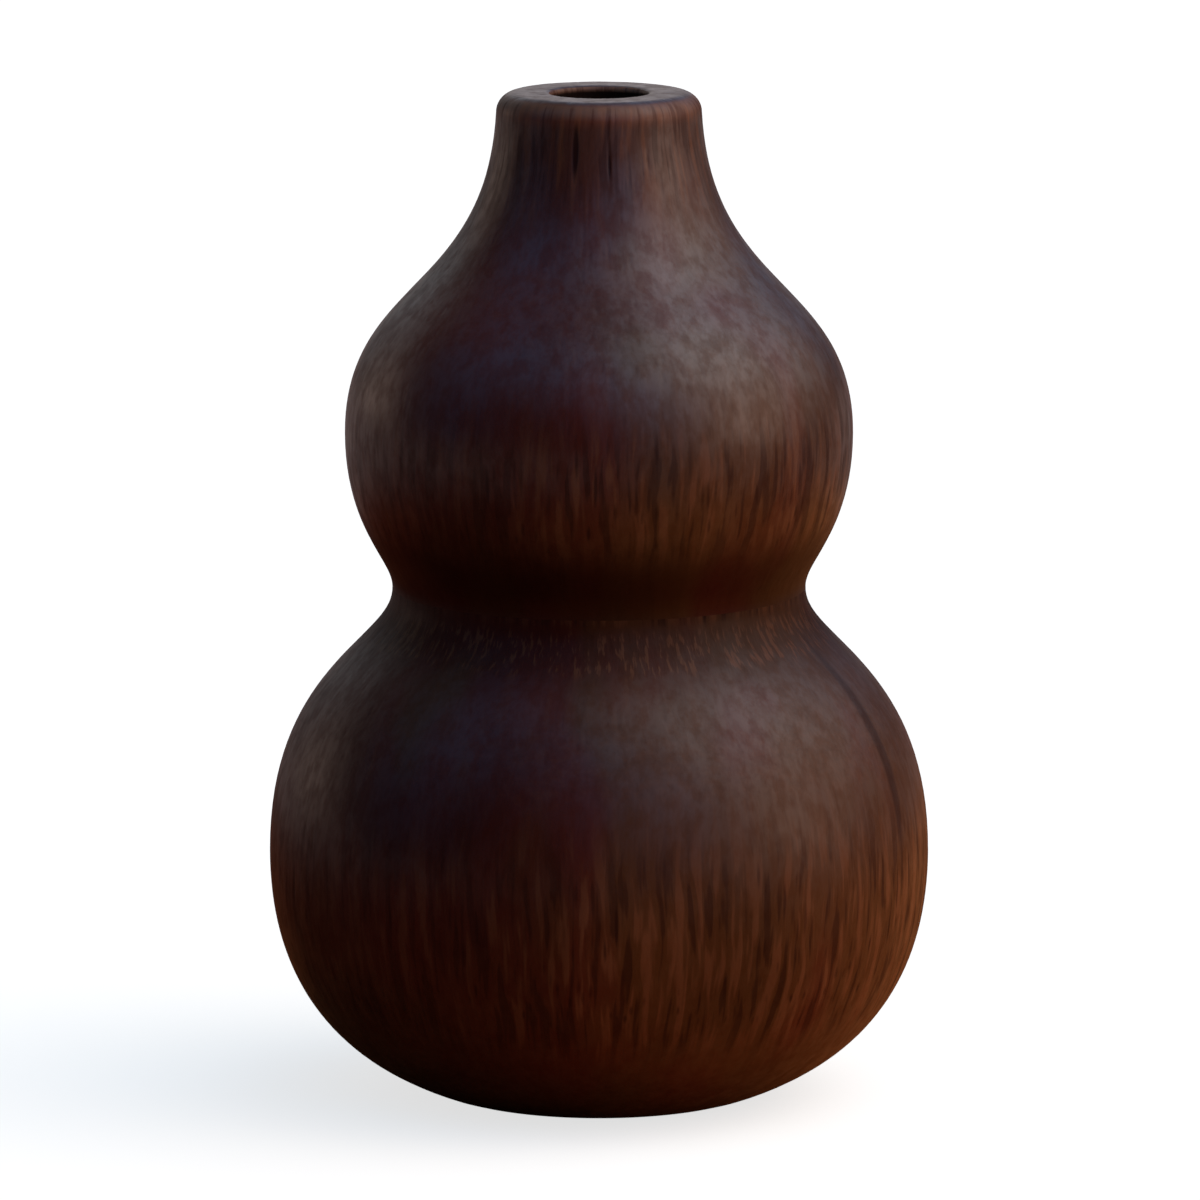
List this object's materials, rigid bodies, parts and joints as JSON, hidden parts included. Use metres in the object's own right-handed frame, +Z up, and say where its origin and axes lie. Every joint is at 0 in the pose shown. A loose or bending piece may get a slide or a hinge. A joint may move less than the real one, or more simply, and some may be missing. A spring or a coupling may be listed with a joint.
{
  "type": "wooden vase",
  "caption": "Turned gourd-shaped wooden vase with a tight waist and a narrow rounded mouth, holding a lift-out glass water tube.",
  "frame": {"origin": "centre of the felt's underside, on the surface that the vase stands on", "axes": "+Z up along the axis that the vase was turned on; X and Y are alike"},
  "size_m": [0.1636, 0.1636, 0.25],
  "materials": {
    "stained_wood": "satin dark reddish-brown stain with open vertical grain",
    "clear_glass": "clear and polished",
    "soft_ring": "matt translucent silicone",
    "dark_felt": "pressed felt"
  },
  "bodies": {
    "vase": {"lower_bulb": "stained_wood", "upper_bulb": "stained_wood", "tube_ring": "soft_ring", "base_felt": "dark_felt"},
    "tube": {"water_tube": "clear_glass"}
  },
  "joints": [
    {"name": "tube_lift", "type": "slide", "parent": "vase", "child": "tube", "axis": [0, 0, 1], "range_m": [0, 0.16]}
  ]
}
